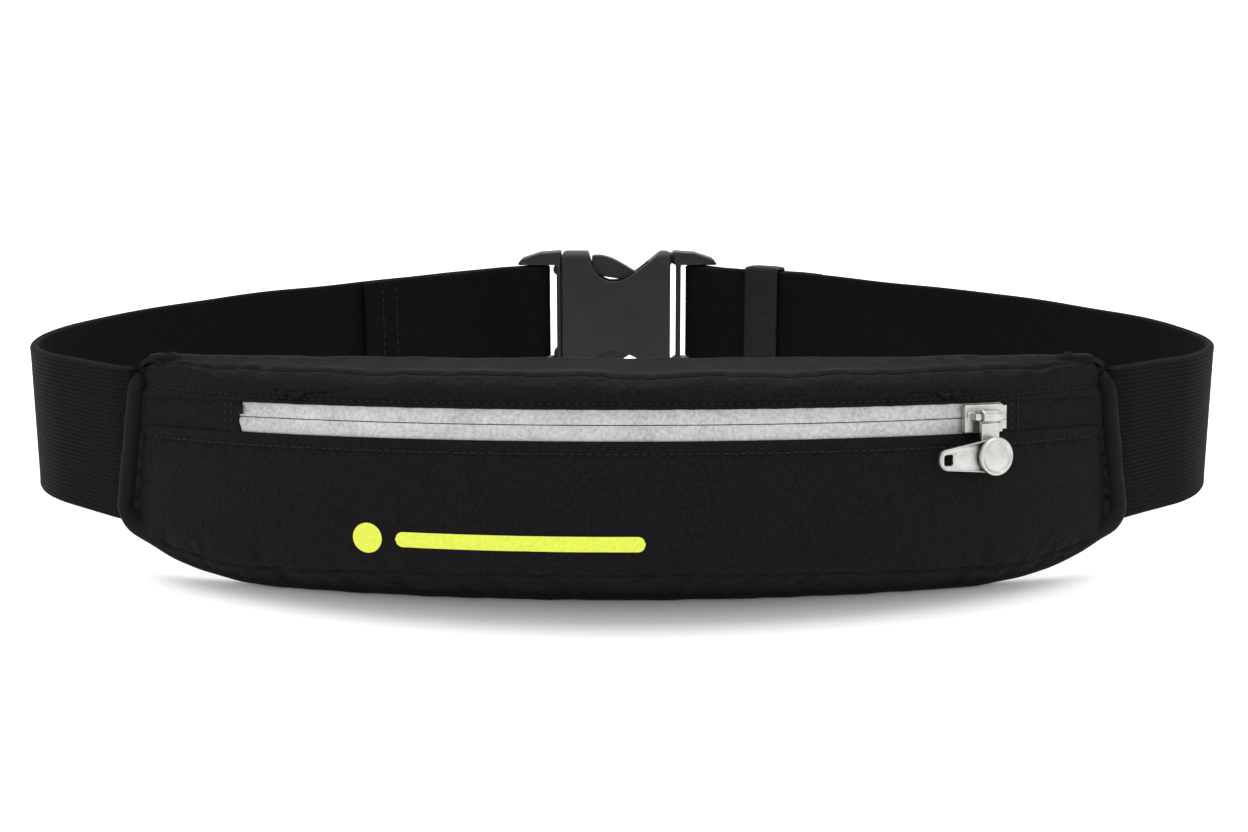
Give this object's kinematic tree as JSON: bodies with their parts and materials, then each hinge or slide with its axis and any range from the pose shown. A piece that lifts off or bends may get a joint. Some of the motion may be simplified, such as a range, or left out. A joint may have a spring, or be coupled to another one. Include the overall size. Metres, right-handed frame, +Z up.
{
  "type": "waist pack",
  "caption": "Slim running waist pack: padded curved pouch with a silver zip and metal pull, elastic webbing belt, side-release buckle and a sliding keeper.",
  "frame": {"origin": "on the ground under the middle of the whole pack's box, where the pouch's lower edge stands", "axes": "+X across the wearer, towards the end of the pouch where the closed zip's slider is, +Y from the pouch to the buckle, +Z up"},
  "size_m": [0.3182, 0.2575, 0.0555],
  "materials": {
    "front_cloth": "matt stretch knit, black",
    "edge_cloth": "soft rolled knit edging, black",
    "back_mesh": "padded mesh, black",
    "webbing": "ribbed elastic webbing, black",
    "keeper_band": "smooth flat band, black",
    "zip_tape": "silver-grey coated tape, satin",
    "zip_coil": "black nylon coil",
    "pull_metal": "satin nickel plate on cast zinc",
    "buckle_plastic": "satin black acetal",
    "print_ink": "yellow-green screen print"
  },
  "bodies": {
    "root": {"back_panel": "back_mesh", "front_panel": "front_cloth", "upper_panel": "front_cloth", "gusset_top": "edge_cloth", "gusset_bottom": "front_cloth", "piping_top": "edge_cloth", "piping_bottom": "edge_cloth", "binding_left": "edge_cloth", "binding_right": "edge_cloth", "zip_tab_left": "front_cloth", "zip_tab_right": "front_cloth", "zip_tape_upper": "zip_tape", "zip_tape_lower": "zip_tape", "zip_coil_upper": "zip_coil", "zip_coil_lower": "zip_coil", "zip_stop_left": "pull_metal", "zip_stops_right": "pull_metal", "front_print": "print_ink", "strap_right": "webbing", "strap_left": "webbing", "buckle_socket": "buckle_plastic"},
    "slider": {"zip_slider": "pull_metal"},
    "link": {"pull_link": "pull_metal", "pull_rivet": "pull_metal"},
    "tab": {"pull_tab": "pull_metal"},
    "keeper_band": {"keeper": "keeper_band"},
    "plug": {"buckle_plug": "buckle_plastic", "strap_left_end": "webbing"},
    "upper_prong": {"prong_upper": "buckle_plastic"},
    "lower_prong": {"prong_lower": "buckle_plastic"}
  },
  "joints": [
    {"name": "zip_travel", "type": "hinge", "parent": "root", "child": "slider", "pos_m": [0, 0.09133, -0.02343], "axis": [0, 0.1219, 0.9925], "range_deg": [-41.7, 0]},
    {"name": "pull_flip", "type": "hinge", "parent": "slider", "child": "link", "pos_m": [0.08048, -0.11276, 0.04253], "axis": [0.9341, 0.3543, -0.0435], "range_deg": [-150, 0]},
    {"name": "tab_swivel", "type": "hinge", "parent": "link", "child": "tab", "pos_m": [0.08071, -0.11439, 0.03427], "axis": [0.3569, -0.9272, 0.1138], "range_deg": [-30, 180]},
    {"name": "plug_release", "type": "slide", "parent": "root", "child": "plug", "axis": [-1, 0, 0], "range_m": [0, 0.04], "deforming": ["strap_left_end", "prong_upper", "prong_lower"]},
    {"name": "upper_prong_squeeze", "type": "hinge", "parent": "plug", "child": "upper_prong", "pos_m": [-0.02625, 0.12367, 0.048], "axis": [0, 1, 0], "range_deg": [0, 11], "stiffness_Nm_per_rad": 0.25},
    {"name": "lower_prong_squeeze", "type": "hinge", "parent": "plug", "child": "lower_prong", "pos_m": [-0.02625, 0.12367, 0.013], "axis": [0, -1, 0], "range_deg": [0, 11], "stiffness_Nm_per_rad": 0.25},
    {"name": "keeper_slide", "type": "slide", "parent": "root", "child": "keeper_band", "axis": [-0.866, 0.5, 0], "range_m": [-0.006, 0.01]}
  ]
}
